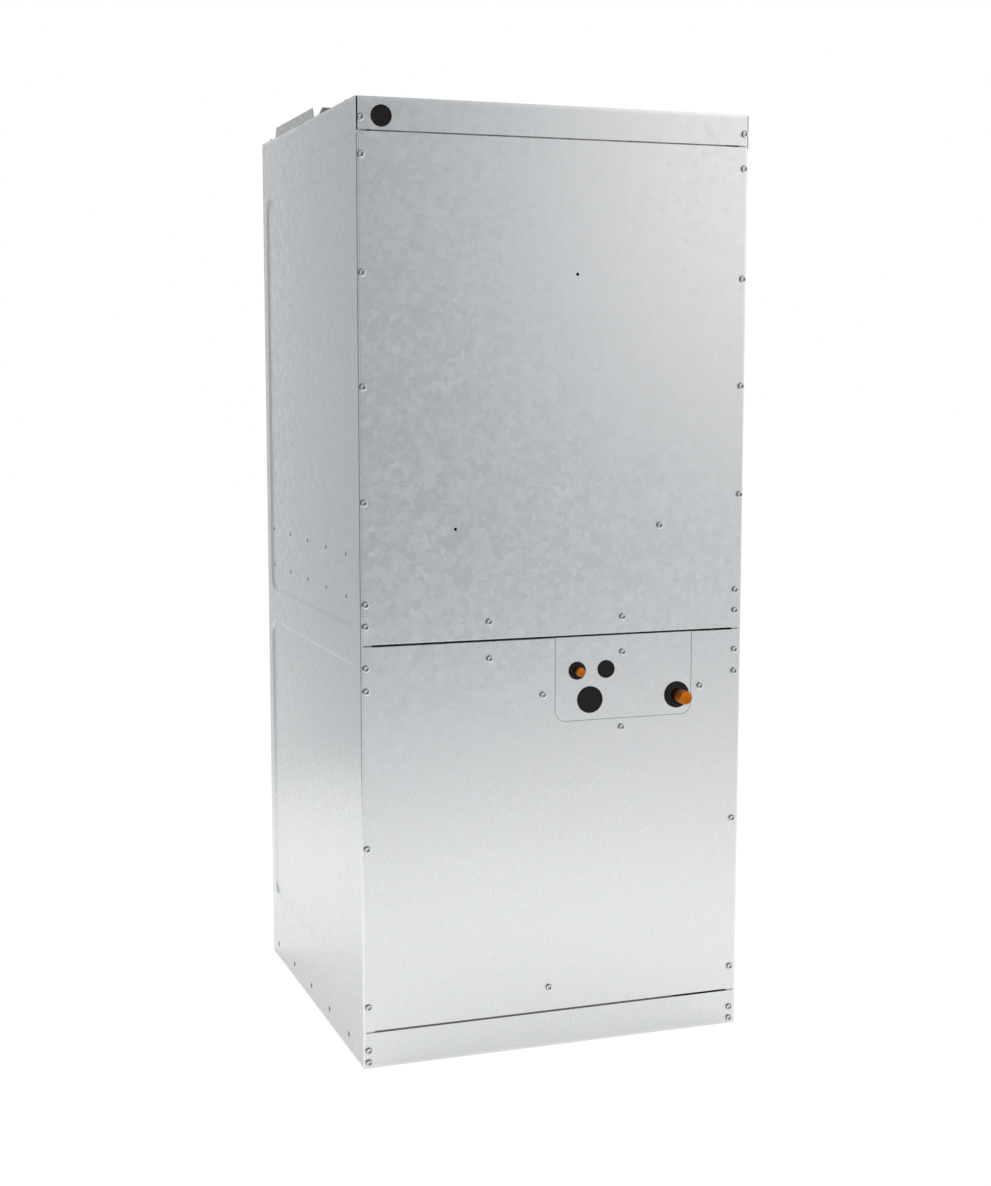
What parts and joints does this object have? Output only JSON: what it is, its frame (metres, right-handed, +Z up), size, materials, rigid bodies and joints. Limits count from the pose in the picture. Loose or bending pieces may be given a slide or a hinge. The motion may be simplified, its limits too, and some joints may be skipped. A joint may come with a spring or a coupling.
{
  "type": "indoor air handler cabinet of a split heat pump",
  "caption": "Tall galvanised sheet-metal air handler cabinet with a top supply collar, open base return and capped copper line stubs.",
  "frame": {"origin": "on the floor, in the middle of the footprint of the whole object, copper stubs included", "axes": "+Z up, +X to the right as one faces the access panels, front faces -Y"},
  "size_m": [0.562, 0.593, 1.317],
  "materials": {
    "galvanised_steel": "spangled zinc coat",
    "galvanised_inner": "spangled zinc coat, in shade",
    "black_rubber": "matt",
    "copper": "bright drawn tube",
    "black_lining": "matt mat-faced board",
    "coil_fins": "fine fins",
    "pan_plastic": "moulded",
    "motor_paint": "satin black"
  },
  "bodies": {
    "root": {"left_side_panel": "galvanised_steel", "right_side_panel": "galvanised_steel", "back_panel": "galvanised_steel", "base_left_rail": "galvanised_inner", "base_right_rail": "galvanised_inner", "base_front_rail": "galvanised_inner", "base_back_rail": "galvanised_inner", "base_front_strip": "galvanised_steel", "upper_access_panel": "galvanised_steel", "lower_access_panel": "galvanised_steel", "connection_plate": "galvanised_steel", "top_front_cover": "galvanised_steel", "wiring_channel": "galvanised_inner", "wiring_plug": "black_rubber", "supply_frame": "galvanised_steel", "middle_front_rail": "galvanised_inner", "coil_front_rail": "galvanised_inner", "coil_back_rail": "galvanised_inner", "left_support_rail": "galvanised_inner", "right_support_rail": "galvanised_inner", "upper_left_lining": "black_lining", "upper_right_lining": "black_lining", "lower_left_lining": "black_lining", "lower_right_lining": "black_lining", "back_lining": "black_lining", "blower_deck": "galvanised_inner", "blower_wrap": "galvanised_inner", "blower_left_plate": "galvanised_inner", "blower_right_plate": "galvanised_inner", "blower_wheel": "galvanised_inner", "blower_motor": "motor_paint", "motor_bracket": "galvanised_inner", "front_cross_bar": "galvanised_inner", "back_cross_bar": "galvanised_inner", "drain_pan": "pan_plastic", "left_coil_slab": "coil_fins", "right_coil_slab": "coil_fins", "front_coil_plate": "galvanised_inner", "back_coil_plate": "galvanised_inner", "liquid_line_stub": "copper", "suction_line_stub": "copper", "liquid_line_grommet": "black_rubber", "small_port_plug": "black_rubber", "large_port_plug": "black_rubber", "suction_line_grommet": "black_rubber"}
  },
  "joints": []
}
